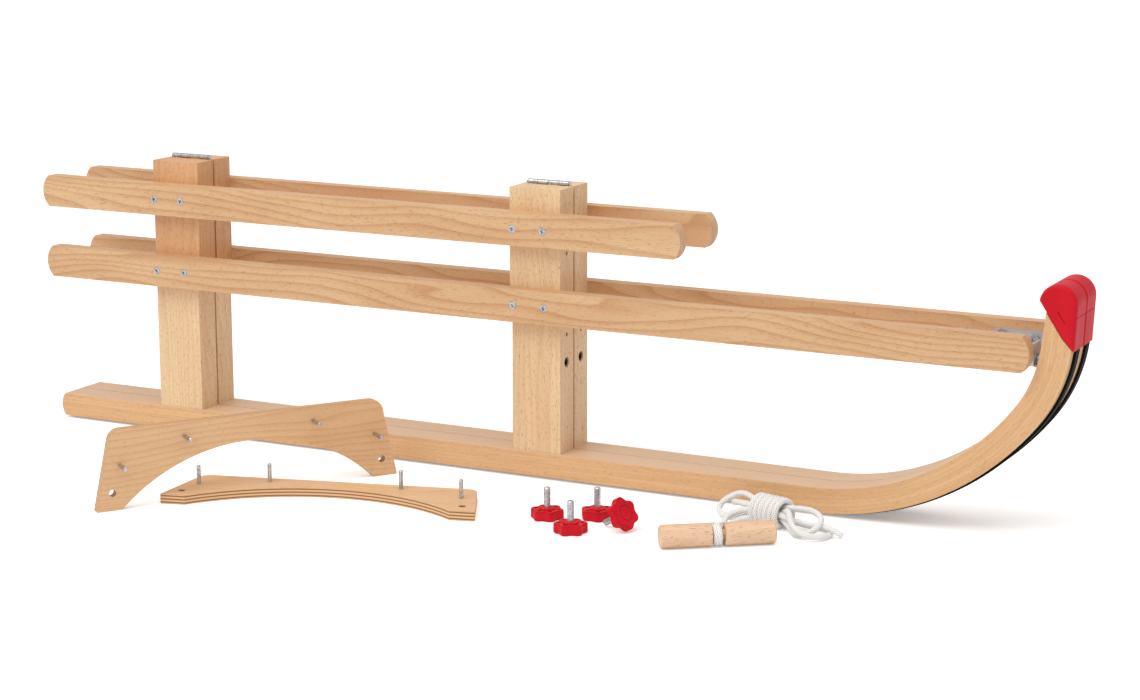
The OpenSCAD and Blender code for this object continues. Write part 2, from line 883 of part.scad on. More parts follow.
module knob_stud() {
    tip = 0.8;
    color(zinc)
        translate([0, 0, 2]) {
            cylinder(r = stud_r, h = knob_h + hub_h - 2 + stud_l - tip);
            translate([0, 0, knob_h + hub_h - 2 + stud_l - tip])
                cylinder(r1 = stud_r, r2 = stud_r - tip * 0.8, h = tip);
        }
}

// knobs 1 to 3 stand on their faces; knob 4 lies tilted on its stud's tip
module place_knob(n) {
    if (n <= 3) {
        spot = knob_at[n - 1];
        translate([spot[0], spot[1], 0])
            rotate([0, 0, spot[2]])
                children();
    } else {
        whole = knob_h + hub_h + stud_l;
        translate([fallen_knob_at[0], fallen_knob_at[1], stud_r * cos(fallen_tilt) + 0.65])
            rotate([0, 0, fallen_knob_at[2]])
                rotate([0, -90 - fallen_tilt, 0])
                    translate([0, 0, -whole])
                        children();
    }
}

// ---- pull rope ----

module place_handle() {
    translate([handle_at[0], handle_at[1], handle_r])
        rotate([0, 0, handle_at[2]])
            rotate([0, 90, 0])
                children();
}

module rope_handle() {
    edge = 1.2;
    groove_l = 2 * rope_pitch + 0.4;
    color(beech)
        place_handle()
            difference() {
                rotate_extrude($fn = 96)
                    polygon([[0, -handle_l / 2], [handle_r - edge, -handle_l / 2],
                        [handle_r, -handle_l / 2 + edge], [handle_r, handle_l / 2 - edge],
                        [handle_r - edge, handle_l / 2], [0, handle_l / 2]]);
                difference() {
                    cylinder(r = handle_r + 1, h = groove_l, center = true);
                    cylinder(r = groove_r, h = groove_l + 1, center = true);
                }
            }
}

// two turns of rope in the handle's groove
module rope_winding() {
    color(white)
        place_handle()
            for (s = [-1, 1])
                rotate_extrude($fn = 64)
                    translate([winding_r, s * rope_pitch / 2])
                        circle(r = rope_r, $fn = 24);
}

// a tube swept along a route of points
function unit(v) = v / norm(v);
function route_dir(route, i) = unit(
    route[min(i + 1, len(route) - 1)] - route[max(i - 1, 0)]);
function ring(route, i, r, sides) =
    let (d = route_dir(route, i), u = unit(cross(d, [0, 0, 1])), w = cross(u, d))
        [for (k = [0:sides - 1])
            route[i] + r * (u * cos(360 * k / sides) + w * sin(360 * k / sides))];

module tube(route, r) {
    sides = 10;
    rings = len(route);
    points = [for (i = [0:rings - 1]) each ring(route, i, r, sides)];
    walls = [for (i = [0:rings - 2]) for (k = [0:sides - 1])
        [i * sides + k, i * sides + (k + 1) % sides,
            (i + 1) * sides + (k + 1) % sides, (i + 1) * sides + k]];
    start = [for (k = [sides - 1:-1:0]) k];
    stop = [for (k = [0:sides - 1]) (rings - 1) * sides + k];
    polyhedron(points, concat([start], walls, [stop]), convexity = 6);
}

module rope_lead() {
    color(white) {
        tube(lead_left, rope_r);
        tube(lead_right, rope_r);
    }
}

// the tied hank: one solid of its outer shape, with round ends
module rope_hank() {
    color(white)
        linear_extrude(hank_h)
            for (i = [0:len(hank_lobes) - 2])
                hull() {
                    for (lobe = [hank_lobes[i], hank_lobes[i + 1]])
                        translate([lobe[0], lobe[1]])
                            circle(r = lobe[2], $fn = 48);
                }
}

// ---- the nodes ----

front_face_x = front_post_x + beam_w;

in_row() runner(RIGHT);  // right_runner
in_row() runner(LEFT);  // left_runner
in_row() sole(RIGHT);  // right_sole
in_row() sole(LEFT);  // left_sole
in_row() tip_cap(RIGHT);  // right_tip_cap
in_row() tip_cap(LEFT);  // left_tip_cap
in_row() leg(RIGHT, front_post_x, front_face_x, 1);  // right_front_leg
in_row() leg(LEFT, front_post_x, front_face_x, 1);  // left_front_leg
in_row() leg(RIGHT, rear_post_x, rear_post_x, -1);  // right_rear_leg
in_row() leg(LEFT, rear_post_x, rear_post_x, -1);  // left_rear_leg
in_row() insert_nuts(RIGHT);  // right_insert_nuts
in_row() insert_nuts(LEFT);  // left_insert_nuts
in_row() beam(RIGHT, front_post_x, front_face_x, 1);  // right_front_beam
in_row() beam(LEFT, front_post_x, front_face_x, 1);  // left_front_beam
in_row() beam(RIGHT, rear_post_x, rear_post_x, -1);  // right_rear_beam
in_row() beam(LEFT, rear_post_x, rear_post_x, -1);  // left_rear_beam
in_row() pivot_pins(RIGHT);  // right_pivot_pins
in_row() pivot_pins(LEFT);  // left_pivot_pins
in_row() slat(RIGHT, upper_slat_back, upper_slat_l, upper_slat_z);  // right_upper_slat
in_row() slat(LEFT, upper_slat_back, upper_slat_l, upper_slat_z);  // left_upper_slat
in_row() slat(RIGHT, lower_slat_back, lower_slat_l, lower_slat_z);  // right_lower_slat
in_row() slat(LEFT, lower_slat_back, lower_slat_l, lower_slat_z);  // left_lower_slat
in_row() slat_screws(RIGHT);  // right_slat_screws
in_row() slat_screws(LEFT);  // left_slat_screws
in_row() nose_bracket(RIGHT);  // right_nose_bracket
in_row() nose_bracket(LEFT);  // left_nose_bracket
in_row() bracket_screws(RIGHT);  // right_bracket_screws
in_row() bracket_screws(LEFT);  // left_bracket_screws
in_row() nose_bolt(RIGHT);  // right_nose_bolt
in_row() nose_bolt(LEFT);  // left_nose_bolt
in_row() hinge_leaf(RIGHT, front_post_x);  // front_hinge_right_leaf
in_row() hinge_leaf(LEFT, front_post_x);  // front_hinge_left_leaf
in_row() hinge_pin(front_post_x);  // front_hinge_pin
in_row() hinge_leaf(RIGHT, rear_post_x);  // rear_hinge_right_leaf
in_row() hinge_leaf(LEFT, rear_post_x);  // rear_hinge_left_leaf
in_row() hinge_pin(rear_post_x);  // rear_hinge_pin
in_row() hinge_screws(RIGHT);  // right_hinge_screws
in_row() hinge_screws(LEFT);  // left_hinge_screws
in_row() place_front_brace() brace_board();  // front_brace
in_row() place_front_brace() brace_pegs();  // front_brace_pegs
in_row() place_rear_brace() brace_board();  // rear_brace
in_row() place_rear_brace() brace_pegs();  // rear_brace_pegs
in_row() place_knob(1) knob_body();  // star_knob_1
in_row() place_knob(2) knob_body();  // star_knob_2
in_row() place_knob(3) knob_body();  // star_knob_3
in_row() place_knob(4) knob_body();  // star_knob_4
in_row() place_knob(1) knob_stud();  // knob_stud_1
in_row() place_knob(2) knob_stud();  // knob_stud_2
in_row() place_knob(3) knob_stud();  // knob_stud_3
in_row() place_knob(4) knob_stud();  // knob_stud_4
in_row() rope_handle();
in_row() rope_winding();
in_row() rope_lead();
in_row() rope_hank();
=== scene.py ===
import math

import bmesh
import bpy
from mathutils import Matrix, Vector


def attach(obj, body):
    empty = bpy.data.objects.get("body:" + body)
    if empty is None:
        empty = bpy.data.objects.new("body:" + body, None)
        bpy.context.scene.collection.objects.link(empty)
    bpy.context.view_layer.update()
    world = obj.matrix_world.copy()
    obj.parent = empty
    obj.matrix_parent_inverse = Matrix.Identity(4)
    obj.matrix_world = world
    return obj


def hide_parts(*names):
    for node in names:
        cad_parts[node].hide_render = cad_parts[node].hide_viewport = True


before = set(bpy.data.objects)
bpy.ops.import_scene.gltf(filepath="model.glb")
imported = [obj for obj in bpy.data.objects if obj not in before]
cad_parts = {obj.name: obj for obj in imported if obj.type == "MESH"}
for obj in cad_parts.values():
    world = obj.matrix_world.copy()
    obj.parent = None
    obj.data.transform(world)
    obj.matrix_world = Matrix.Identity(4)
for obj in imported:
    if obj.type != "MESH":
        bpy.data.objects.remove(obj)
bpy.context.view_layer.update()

MM = 0.001
FLAT_L = 851.0  # straight stretch of the runner
RUNNER_TOP = 26.0  # height of the runner's top face
BEND_R1 = 234.0  # radius of the runner's top face in its first bend
BEND_A1 = 53.0  # degrees of the first bend
BEND_R2 = 116.0  # radius in the second bend
ROW_X = FLAT_L / 2
ROW_Y = -15.35  # the near runner's middle, counted from the fold plane
CORD_STEP = 0.001  # metres between the points of a cord


def row(x, y, z):
    """A point counted in millimetres from the runner's rear end and the fold plane."""
    return Vector(((x - ROW_X) * MM, (y - ROW_Y) * MM, z * MM))


# ---- camera ----

cam_data = bpy.data.cameras.new("camera")
camera = bpy.data.objects.new("camera", cam_data)
bpy.context.collection.objects.link(camera)
CAMERA_DOWN = 12.01  # degrees below the horizon
CAMERA_TURN = 26.86  # degrees about Z
camera.location = (1.2538, -2.1389, 0.6367)
camera.rotation_euler = (math.radians(90 - CAMERA_DOWN), 0.0, math.radians(CAMERA_TURN))
cam_data.sensor_width = 36.0
cam_data.lens = 81.1
cam_data.clip_end = 50.0
bpy.context.scene.camera = camera


# ---- small tools for meshes ----


def new_object(name, mesh, body=None):
    obj = bpy.data.objects.new(name, mesh)
    bpy.context.collection.objects.link(obj)
    if body:
        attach(obj, body)
    return obj


def smooth_line(points, step):
    """A smooth line through the points, with a point about every step metres."""
    pts = [Vector(p) for p in points]
    ends = [pts[0] * 2 - pts[1]] + pts + [pts[-1] * 2 - pts[-2]]
    out = []
    for i in range(1, len(ends) - 2):
        p0, p1, p2, p3 = ends[i - 1 : i + 3]
        count = max(2, round((p2 - p1).length / step))
        for k in range(count):
            t = k / count
            out.append(
                0.5
                * (
                    2 * p1
                    + (p2 - p0) * t
                    + (2 * p0 - 5 * p1 + 4 * p2 - p3) * t * t
                    + (3 * p1 - p0 - 3 * p2 + p3) * t**3
                )
            )
    out.append(pts[-1])
    return out


def even_line(line, step):
    """The same line with its points evenly spaced."""
    total = sum((b - a).length for a, b in zip(line, line[1:]))
    count = max(2, round(total / step))
    gap = total / count
    out, carry = [line[0]], 0.0
    for a, b in zip(line, line[1:]):
        run = (b - a).length
        at = gap - carry
        while at <= run + 1e-12 and len(out) < count:
            out.append(a.lerp(b, at / run))
            at += gap
        carry = run - (at - gap)
    out.append(line[-1])
    return out


def relaxed(line, passes=12):
    """The same line with its corners eased; its ends stay."""
    for _ in range(passes):
        eased = [q * 0.5 + (p + r) * 0.25 for p, q, r in zip(line, line[1:], line[2:])]
        line = [line[0]] + eased + [line[-1]]
    return line


def rope_mesh(name, line, radius, sides=14):
    """A tube along a line. Its UV map holds turns around the rope and metres along it."""
    mesh = bpy.data.meshes.new(name)
    bm = bmesh.new()
    uv = bm.loops.layers.uv.new("lay")
    up = Vector((0, 0, 1))
    first = (line[1] - line[0]).normalized()
    side = first.cross(up)
    if side.length < 0.1:
        side = first.cross(Vector((1, 0, 0)))
    side.normalize()
    rings, alongs, along = [], [], 0.0
    for i, p in enumerate(line):
        a = line[max(i - 1, 0)]
        b = line[min(i + 1, len(line) - 1)]
        d = (b - a).normalized()
        side = (side - d * side.dot(d)).normalized()
        top = side.cross(d)
        if i:
            along += (p - line[i - 1]).length
        ring = []
        for k in range(sides):
            t = 2 * math.pi * k / sides
            strand = 0.03 * math.cos(4 * t + along / radius * 2.2)
            strand += 0.03 * math.cos(4 * t - along / radius * 2.2)
            r = radius * (0.97 + strand * 0.9)
            ring.append(bm.verts.new(p + side * math.cos(t) * r + top * math.sin(t) * r))
        rings.append(ring)
        alongs.append(along)
    for i in range(len(rings) - 1):
        for k in range(sides):
            n = (k + 1) % sides
            face = bm.faces.new((rings[i][k], rings[i][n], rings[i + 1][n], rings[i + 1][k]))
            face.smooth = True
            turns = (k / sides, (k + 1) / sides, (k + 1) / sides, k / sides)
            for loop, u, v in zip(
                face.loops, turns, (alongs[i], alongs[i], alongs[i + 1], alongs[i + 1])
            ):
                loop[uv].uv = (u, v)
    bm.faces.new(rings[0])
    bm.faces.new(list(reversed(rings[-1])))
    bmesh.ops.recalc_face_normals(bm, faces=bm.faces)
    bm.to_mesh(mesh)
    bm.free()
    return mesh


# ---- the pull rope: two strands from the grip into a wound hank ----

ROPE_R = 2.8
HANK_AT = (834.0, -84.0)
HANK_TURN = math.radians(-15)
CORE_Z = 14.8  # height of the middle of the wraps
CORE_R = 5.75  # circle of the six strands round the middle one
WRAP_R = 11.9  # radius of the wraps, to the middle of the rope
WRAP_TURNS = 6
WRAP_STEPS = 16  # points in a turn
WRAP_FROM = -16.0  # place of the first wrap along the hank
WRAP_RUN = 32.0  # length of all the wraps


def hank(a, b, z):
    """A point of the hank: a along it, b across it away from the grip, z above the ground."""
    x = HANK_AT[0] + a * math.cos(HANK_TURN) - b * math.sin(HANK_TURN)
    y = HANK_AT[1] + a * math.sin(HANK_TURN) + b * math.cos(HANK_TURN)
    return row(x, y, z)


def core(slot, a):
    """A point of one of the seven strands that run through the wraps."""
    if slot == 0:
        return hank(a, 0, CORE_Z)
    t = math.radians(60 * slot)
    return hank(a, CORE_R * math.cos(t), CORE_Z + CORE_R * math.sin(t))


LEAD_LEFT = [
    (812, -163, 17.8), (808, -156, 17.2), (804, -149, 14), (801, -141, 9),
    (799, -132, 5), (799, -121, 3), (800, -111, 3),
]
LEAD_RIGHT = [
    (817, -160, 17.8), (813, -153, 17.2), (810, -146, 13.5), (808, -138, 8.5),
    (806, -129, 4.8), (806, -118, 3), (807, -108, 3),
]

# the long strand: through the core, round the loops on both sides, then the wraps
long_points = [row(*p) for p in LEAD_RIGHT]
long_points += [hank(-27, -22, 3), hank(-26, -12, 4.5), hank(-17, -5.5, 7)]
long_points += [core(4, -5), core(4, 5), core(4, 15)]
long_points += [
    hank(27, -8, 5.5), hank(36, -14, 3.2), hank(46, -13, 4), hank(53, -5, 9),
    hank(51, 6, 14.5), hank(42, 11, 18), hank(33, 9, 20), hank(24, 4, 20.5),
]
long_points += [core(1, 14), core(1, 0), core(1, -16)]
long_points += [
    hank(-27, 8, 20), hank(-38, 13, 20.5), hank(-49, 16, 19), hank(-58, 12, 14.5),
    hank(-61, 3, 9), hank(-56, -5, 5), hank(-46, -7, 3.2), hank(-36, -4, 3.2),
    hank(-27, 2, 5.5),
]
long_points += [core(5, -15), core(5, 0), core(5, 15)]
long_points += [
    hank(27, 8, 6), hank(36, 16, 3.2), hank(47, 18, 3), hank(57, 12, 3),
    hank(62, 0, 3.2), hank(60, -13, 4.5), hank(51, -22, 7.5), hank(40, -22, 12.5),
    hank(31, -14, 17.5), hank(23, -6, 19.5), hank(16, -2, 17),
]
long_points += [core(0, 9), core(0, 0), core(0, -14)]
long_points += [
    hank(-27, -1, 15.8), hank(-37, 3, 15), hank(-48, 9, 12.5), hank(-57, 18, 9),
    hank(-60, 28, 6), hank(-54, 37, 4), hank(-43, 38, 3.2), hank(-32, 28, 3.1),
    hank(-23, 12, 3),
]
wraps = []
wrap_points = WRAP_TURNS * WRAP_STEPS
for k in range(wrap_points + 1):
    t = -math.pi / 2 - 2 * math.pi * k / WRAP_STEPS
    a = WRAP_FROM + WRAP_RUN * k / wrap_points
    wraps.append(hank(a, WRAP_R * math.cos(t), CORE_Z + WRAP_R * math.sin(t)))
long_line = relaxed(even_line(smooth_line(long_points + wraps, CORD_STEP), CORD_STEP))

short_points = [row(*p) for p in LEAD_LEFT]
short_points += [hank(-34, -26, 4), hank(-36, -15, 7.5), hank(-29, -7.5, 11.5)]
short_points += [hank(-18, -5.5, 14), core(3, -8), core(3, 2), core(3, 13)]
short_points += [
    hank(26, -6, 12.5), hank(34, -3, 11), hank(42, 0, 9.6), hank(50, 3, 9),
    hank(58, 5, 9), hank(66, 7, 6.5), hank(72, 9, 3.2),
]
short_line = relaxed(even_line(smooth_line(short_points, CORD_STEP), CORD_STEP))


def make_cord(name, line):
    mesh = rope_mesh(name, line, ROPE_R * MM)
    obj = new_object(name, mesh, "pull_rope_unit")
    return obj


long_rope = make_cord("long_strand", long_line)
short_rope = make_cord("short_strand", short_line)

# two turns round the grip
GRIP = row(815, -162, 10.5)
GRIP_DEGREES = 36
GRIP_TURN = math.radians(GRIP_DEGREES)
GRIP_DIR = Vector((math.cos(GRIP_TURN), math.sin(GRIP_TURN), 0))
GRIP_SIDE = Vector((-math.sin(GRIP_TURN), math.cos(GRIP_TURN), 0))
WINDING_R = 7.3  # radius of the turns, to the middle of the rope
WINDING_TURNS = 2
WINDING_STEPS = 48  # points in a turn
WINDING_RUN = 5.8  # how far the turns run along the grip
turns = []
winding_points = WINDING_TURNS * WINDING_STEPS
for k in range(winding_points + 1):
    t = math.pi / 2 + 2 * math.pi * k / WINDING_STEPS
    at = GRIP + GRIP_DIR * ((k / winding_points - 0.5) * WINDING_RUN * MM)
    spoke = GRIP_SIDE * math.cos(t) + Vector((0, 0, 1)) * math.sin(t)
    turns.append(at + spoke * WINDING_R * MM)
winding = new_object(
    "grip_winding", rope_mesh("grip_winding", even_line(turns, 0.0012), ROPE_R * MM), "pull_rope_unit"
)
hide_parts("rope_winding")
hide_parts("rope_hank", "rope_lead")

# ---- materials ----


def new_material(name):
    mat = bpy.data.materials.new(name)
    mat.use_nodes = True
    tree = mat.node_tree
    shader = next(n for n in tree.nodes if n.type == "BSDF_PRINCIPLED")
    return mat, tree, shader


def group(name, inputs, outputs):
    """A node group with named sockets: (name, kind, default) in, (name, kind) out."""
    tree = bpy.data.node_groups.new(name, "ShaderNodeTree")
    for label, kind, default in inputs:
        s = tree.interface.new_socket(label, in_out="INPUT", socket_type=kind)
        if default is not None:
            s.default_value = default
    for label, kind in outputs:
        tree.interface.new_socket(label, in_out="OUTPUT", socket_type=kind)
    return tree, tree.nodes.new("NodeGroupInput"), tree.nodes.new("NodeGroupOutput")


class Net:
    """Short calls for adding nodes to one tree."""

    def __init__(self, tree):
        self.tree = tree

    def put(self, socket, value):
        if isinstance(value, bpy.types.NodeSocket):
            self.tree.links.new(value, socket)
        elif value is not None:
            socket.default_value = value

    def math(self, op, a, b=None, c=None, clamp=False):
        n = self.tree.nodes.new("ShaderNodeMath")
        n.operation = op
        n.use_clamp = clamp
        for i, v in enumerate((a, b, c)):
            if v is not None:
                self.put(n.inputs[i], v)
        return n.outputs[0]

    def split(self, vec):
        n = self.tree.nodes.new("ShaderNodeSeparateXYZ")
        self.put(n.inputs[0], vec)
        return n.outputs[0], n.outputs[1], n.outputs[2]

    def join(self, x, y, z):
        n = self.tree.nodes.new("ShaderNodeCombineXYZ")
        for i, v in enumerate((x, y, z)):
            self.put(n.inputs[i], v)
        return n.outputs[0]

    def noise(self, vec, scale, detail=3.0, rough=0.55, distortion=0.0):
        n = self.tree.nodes.new("ShaderNodeTexNoise")
        self.put(n.inputs["Vector"], vec)
        self.put(n.inputs["Scale"], scale)
        self.put(n.inputs["Detail"], detail)
        self.put(n.inputs["Roughness"], rough)
        self.put(n.inputs["Distortion"], distortion)
        return n.outputs["Fac"] if "Fac" in n.outputs else n.outputs[0]

    def ramp(self, value, low, high, lo=0.0, hi=1.0, smooth=True):
        n = self.tree.nodes.new("ShaderNodeMapRange")
        n.interpolation_type = "SMOOTHSTEP" if smooth else "LINEAR"
        for i, v in enumerate((value, low, high, lo, hi)):
            self.put(n.inputs[i], v)
        return n.outputs[0]

    def mix(self, fac, a, b, mode="MIX"):
        n = self.tree.nodes.new("ShaderNodeMix")
        n.data_type = "RGBA"
        n.blend_type = mode
        self.put(n.inputs[0], fac)
        self.put(n.inputs[6], a)
        self.put(n.inputs[7], b)
        return n.outputs[2]

    def use(self, tree, **values):
        n = self.tree.nodes.new("ShaderNodeGroup")
        n.node_tree = tree
        for label, v in values.items():
            self.put(n.inputs[label.replace("_", " ")], v)
        return n

    def stretched(self, vec, along, across):
        """A vector scaled by along on its first axis and by across on the other two."""
        x, y, z = vec
        scaled = [self.math("MULTIPLY", x, along)]
        scaled += [self.math("MULTIPLY", v, across) for v in (y, z)]
        return self.join(*scaled)

    def position(self):
        return self.tree.nodes.new("ShaderNodeTexCoord").outputs["Object"]

    def bump(self, height, strength, distance):
        n = self.tree.nodes.new("ShaderNodeBump")
        self.put(n.inputs["Height"], height)
        n.inputs["Strength"].default_value = strength
        n.inputs["Distance"].default_value = distance
        return n.outputs[0]


def colour(r, g, b):
    """A colour from its 0 to 255 screen values."""

    def linear(v):
        v /= 255
        return v / 12.92 if v <= 0.04045 else ((v + 0.055) / 1.055) ** 2.4

    return (linear(r), linear(g), linear(b), 1.0)


# beech: soft growth bands, short dark flecks along the grain and fine pores
beech_group, gin, gout = group(
    "Beech grain",
    [
        ("Grain", "NodeSocketVector", None),
        ("Shift", "NodeSocketFloat", 0.0),
        ("Light", "NodeSocketColor", colour(226, 186, 142)),
        ("Dark", "NodeSocketColor", colour(196, 142, 96)),
        ("Bands", "NodeSocketFloat", 0.5),
        ("Flecks", "NodeSocketFloat", 0.6),
        ("Pinkness", "NodeSocketFloat", 0.3),
    ],
    [("Color", "NodeSocketColor"), ("Roughness", "NodeSocketFloat"), ("Height", "NodeSocketFloat")],
)
net = Net(beech_group)
along, across, deep = net.split(gin.outputs["Grain"])
along = net.math("ADD", along, net.math("MULTIPLY", gin.outputs["Shift"], 3.7))
across = net.math("ADD", across, net.math("MULTIPLY", gin.outputs["Shift"], 0.31))
deep = net.math("ADD", deep, net.math("MULTIPLY", gin.outputs["Shift"], 0.17))
grain = (along, across, deep)
slow = net.noise(net.stretched(grain, 2.2, 12), 1.0, 2.0)
wander = net.math("MULTIPLY", net.math("SUBTRACT", slow, 0.5), 0.06)
off_centre = net.math("ADD", net.math("ADD", across, 0.045), wander)
off_depth = net.math("ADD", net.math("ADD", deep, 0.02), net.math("MULTIPLY", wander, 0.7))
square = net.math("ADD", net.math("POWER", off_centre, 2.0), net.math("POWER", off_depth, 2.0))
pith = net.math("SQRT", square)
taper = net.math("ADD", pith, net.math("MULTIPLY", along, 0.012))
RINGS_PER_M = 190.0
ring = net.math("FRACT", net.math("MULTIPLY", taper, RINGS_PER_M))
late = net.math("POWER", ring, 3.0)
ring_end = net.ramp(ring, 0.9, 1.0, 1.0, 0.0)
band = net.math("MULTIPLY", late, ring_end)
fibre = net.noise(net.stretched(grain, 26, 1500), 1.0, 3.0, 0.6)
cloud = net.noise(net.stretched(grain, 7, 40), 1.0, 3.0)
fleck_noise = net.noise(net.stretched(grain, 220, 1150), 1.0, 1.0, 0.4)
fleck = net.ramp(fleck_noise, 0.61, 0.69)
tone = net.math("MULTIPLY", band, net.math("MULTIPLY", gin.outputs["Bands"], 0.7))
tone = net.math("ADD", tone, net.math("MULTIPLY", net.math("SUBTRACT", fibre, 0.5), 0.42))
tone = net.math("ADD", tone, net.math("MULTIPLY", net.math("SUBTRACT", cloud, 0.42), 0.9))
tone = net.math("ADD", tone, 0.16, clamp=True)
wood = net.mix(tone, gin.outputs["Light"], gin.outputs["Dark"])
pink = net.math("MULTIPLY", net.ramp(slow, 0.45, 0.75), gin.outputs["Pinkness"])
wood = net.mix(pink, wood, colour(206, 148, 112))
fleck_share = net.math("MULTIPLY", fleck, net.math("MULTIPLY", gin.outputs["Flecks"], 0.8))
wood = net.mix(fleck_share, wood, colour(150, 98, 60))
beech_group.links.new(wood, gout.inputs["Color"])
beech_group.links.new(net.math("ADD", 0.42, net.math("MULTIPLY", fibre, 0.16)), gout.inputs["Roughness"])
beech_group.links.new(net.math("SUBTRACT", net.math("MULTIPLY", fibre, 0.6), fleck), gout.inputs["Height"])

# the grain of a board along one row axis
AXES = {"x": (0, 1, 2), "y": (1, 0, 2), "z": (2, 0, 1)}


def finish_wood(tree, net, shader, wood, coat=0.12):
    tree.links.new(wood.outputs["Color"], shader.inputs["Base Color"])
    tree.links.new(wood.outputs["Roughness"], shader.inputs["Roughness"])
    tree.links.new(net.bump(wood.outputs["Height"], 0.25, 0.0002), shader.inputs["Normal"])
    shader.inputs["Coat Weight"].default_value = coat
    shader.inputs["Coat Roughness"].default_value = 0.3
    shader.inputs["IOR"].default_value = 1.45


def beech(name, axis, shift, bands=0.5, flecks=0.6, pink=0.3, light=None, dark=None):
    mat, tree, shader = new_material(name)
    net = Net(tree)
    parts = net.split(net.position())
    grain = net.join(*[parts[i] for i in AXES[axis]])
    wood = net.use(beech_group, Grain=grain, Shift=shift, Bands=bands, Flecks=flecks, Pinkness=pink)
    if light:
        wood.inputs["Light"].default_value = light
    if dark:
        wood.inputs["Dark"].default_value = dark
    finish_wood(tree, net, shader, wood)
    return mat


# laminated board that follows the runner's two bends
bend_group, gin, gout = group(
    "Bent board",
    [
        ("Position", "NodeSocketVector", None),
        ("Bend start", "NodeSocketFloat", 0.0),
        ("Top", "NodeSocketFloat", RUNNER_TOP * MM),
        ("First radius", "NodeSocketFloat", BEND_R1 * MM),
        ("First angle", "NodeSocketFloat", math.radians(BEND_A1)),
        ("Second radius", "NodeSocketFloat", BEND_R2 * MM),
    ],
    [("Along", "NodeSocketFloat"), ("Below top", "NodeSocketFloat"), ("Across", "NodeSocketFloat")],
)
net = Net(bend_group)
px, py, pz = net.split(gin.outputs["Position"])
r1, a1, r2 = gin.outputs["First radius"], gin.outputs["First angle"], gin.outputs["Second radius"]
dx = net.math("SUBTRACT", px, gin.outputs["Bend start"])
drop = net.math("SUBTRACT", net.math("ADD", gin.outputs["Top"], r1), pz)
ang1 = net.math("ARCTAN2", dx, drop)
rad1 = net.math("SQRT", net.math("ADD", net.math("POWER", dx, 2.0), net.math("POWER", drop, 2.0)))
lessr = net.math("SUBTRACT", r1, r2)
dx2 = net.math("SUBTRACT", dx, net.math("MULTIPLY", lessr, net.math("SINE", a1)))
drop2 = net.math("SUBTRACT", drop, net.math("MULTIPLY", lessr, net.math("COSINE", a1)))
ang2 = net.math("ARCTAN2", dx2, drop2)
rad2 = net.math("SQRT", net.math("ADD", net.math("POWER", dx2, 2.0), net.math("POWER", drop2, 2.0)))
in_bend = net.math("GREATER_THAN", dx, 0.0)
in_second = net.math("GREATER_THAN", ang1, a1)


def choose(switch, a, b):
    """Gives a where the switch is 0, and b where it is 1."""
    off = net.math("MULTIPLY", net.math("SUBTRACT", 1.0, switch), a)
    return net.math("ADD", off, net.math("MULTIPLY", switch, b))


arc1 = net.math("MULTIPLY", ang1, r1)
arc2 = net.math("ADD", net.math("MULTIPLY", a1, r1), net.math("MULTIPLY", net.math("SUBTRACT", ang2, a1), r2))
bend_along = choose(in_second, arc1, arc2)
bend_below = choose(in_second, net.math("SUBTRACT", rad1, r1), net.math("SUBTRACT", rad2, r2))
bend_group.links.new(choose(in_bend, dx, bend_along), gout.inputs["Along"])
flat_below = net.math("SUBTRACT", gin.outputs["Top"], pz)
bend_group.links.new(choose(in_bend, flat_below, bend_below), gout.inputs["Below top"])
bend_group.links.new(py, gout.inputs["Across"])


LAMINATION = 3.4 * MM  # thickness of the runner's layers
PLY = 3.0 * MM  # a light and a dark layer of the braces
BRACE_T = 9.0 * MM  # thickness of the braces
FACE_PLY = 0.7 * MM  # the outer layers, which show as the face


def runner_wood(name, shift):
    mat, tree, shader = new_material(name)
    net = Net(tree)
    bent = net.use(bend_group, Position=net.position(), Bend_start=(FLAT_L - ROW_X) * MM)
    below = bent.outputs["Below top"]
    # thin laminations, each with its own tone
    ply = net.math("FLOOR", net.math("DIVIDE", below, LAMINATION))
    own = net.math("FRACT", net.math("MULTIPLY", net.math("SINE", net.math("ADD", ply, shift)), 43.7))
    moved = net.math("ADD", bent.outputs["Along"], net.math("MULTIPLY", own, 2.0))
    grain = net.join(moved, below, bent.outputs["Across"])
    wood = net.use(beech_group, Grain=grain, Shift=shift, Bands=0.4, Flecks=0.45, Pinkness=0.15)
    wood.inputs["Light"].default_value = colour(224, 178, 126)
    wood.inputs["Dark"].default_value = colour(196, 140, 88)
    line = net.math("FRACT", net.math("DIVIDE", below, LAMINATION))
    off_line = net.math("ABSOLUTE", net.math("SUBTRACT", line, 0.5))
    glue = net.math("SUBTRACT", 1.0, net.ramp(off_line, 0.40, 0.5, 1.0, 0.0))
    toned = net.mix(net.math("MULTIPLY", own, 0.22), wood.outputs["Color"], colour(240, 205, 160))
    toned = net.mix(net.math("MULTIPLY", glue, 0.25), toned, colour(176, 118, 72))
    # painted highlight: the top face is painted paler and greyer, standing in for light from above and the
    # white surroundings
    painted_top_sheen = net.math("MULTIPLY", net.math("LESS_THAN", below, 0.0006), 0.45)
    toned = net.mix(painted_top_sheen, toned, colour(232, 206, 178))
    tree.links.new(toned, shader.inputs["Base Color"])
    tree.links.new(wood.outputs["Roughness"], shader.inputs["Roughness"])
    tree.links.new(net.bump(wood.outputs["Height"], 0.2, 0.0002), shader.inputs["Normal"])
    shader.inputs["Coat Weight"].default_value = 0.12
    shader.inputs["Coat Roughness"].default_value = 0.3
    return mat


def turned(net, vec, origin, degrees_z, tilt=None):
    """A position seen from a piece that was turned about Z (and then stood up)."""
    n = net.tree.nodes.new("ShaderNodeMapping")
    n.vector_type = "TEXTURE"
    net.put(n.inputs["Vector"], vec)
    n.inputs["Location"].default_value = origin
    n.inputs["Rotation"].default_value = (math.radians(tilt or 0), 0, math.radians(degrees_z))
    return n.outputs[0]


